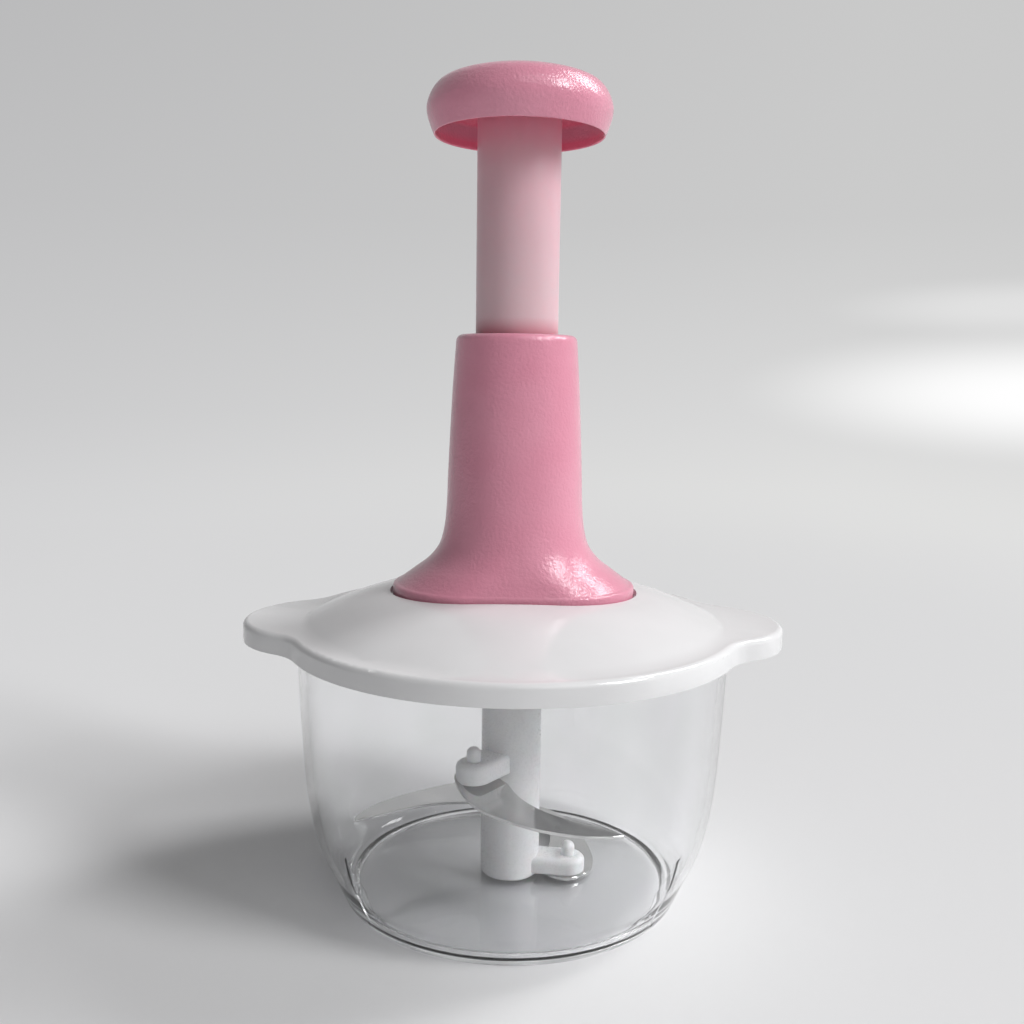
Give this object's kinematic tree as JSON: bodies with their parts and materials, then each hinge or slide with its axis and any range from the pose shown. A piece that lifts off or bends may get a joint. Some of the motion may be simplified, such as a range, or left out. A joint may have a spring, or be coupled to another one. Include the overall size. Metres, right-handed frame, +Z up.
{
  "type": "plunger food chopper",
  "caption": "Hand-pressed food chopper: clear round bowl, white lid with two ears, pink handle housing, sliding tube with round knob, and curved blades on an upright shaft.",
  "frame": {"origin": "centre of the bowl's foot, on the surface it stands on", "axes": "+Z up along the plunger, +X to the right along the lid's two ears, -Y towards the front"},
  "size_m": [0.1698, 0.141, 0.252],
  "materials": {
    "pink_shell": "fine pebble-grained moulding",
    "milky_tube": "milky, satin",
    "lid_white": "glossy moulding",
    "shaft_white": "satin moulding",
    "bowl_clear": "clear, polished mould",
    "blade_steel": "mirror-polished stainless sheet",
    "rod_steel": "drawn bar, bright",
    "screw_steel": "zinc plated",
    "spring_steel": "drawn spring wire",
    "bearing_plastic": "natural acetal",
    "clutch_plastic": "natural acetal",
    "seal_silicone": "translucent white silicone"
  },
  "bodies": {
    "bowl": {"bowl": "bowl_clear", "centre_pin": "rod_steel"},
    "head": {"lid": "lid_white", "lid_seal": "seal_silicone", "drive_cover": "lid_white", "cover_screws": "screw_steel", "handle_housing": "pink_shell", "housing_screws": "screw_steel", "guide_bush": "bearing_plastic", "rod_bush": "bearing_plastic", "thrust_washer": "bearing_plastic", "return_spring": "spring_steel"},
    "plunger": {"plunger_tube": "milky_tube", "spiral_nut": "bearing_plastic", "stop_collar": "bearing_plastic", "press_knob": "pink_shell", "knob_screw": "screw_steel"},
    "drive": {"spiral_rod": "rod_steel", "circlip": "spring_steel", "pawl_wheel": "clutch_plastic", "drive_coupler": "clutch_plastic", "spring_seat": "bearing_plastic"},
    "blades": {"blade_shaft": "shaft_white", "shaft_bush": "bearing_plastic", "upper_blade": "blade_steel", "middle_blade": "blade_steel", "lower_blade": "blade_steel", "blade_pins": "shaft_white"}
  },
  "joints": [
    {"name": "lid_lift", "type": "slide", "parent": "bowl", "child": "head", "axis": [0, 0, 1], "range_m": [0, 0.12]},
    {"name": "plunger_slide", "type": "slide", "parent": "head", "child": "plunger", "axis": [0, 0, -1], "range_m": [0, 0.056], "stiffness_N_per_m": 300, "springref_m": -0.027, "deforming": ["return_spring"]},
    {"name": "drive_spin", "type": "hinge", "parent": "head", "child": "drive", "pos_m": [0, 0, 0.09], "axis": [0, 0, -1], "range_deg": [0, 631]},
    {"name": "blade_spin", "type": "hinge", "parent": "bowl", "child": "blades", "pos_m": [0, 0, 0.012], "axis": [0, 0, -1], "range_deg": [0, 631]}
  ],
  "couplings": [
    {"joint": "drive_spin", "follows": "plunger_slide", "rad_per_m": 196.35},
    {"joint": "blade_spin", "follows": "plunger_slide", "rad_per_m": 196.35}
  ]
}
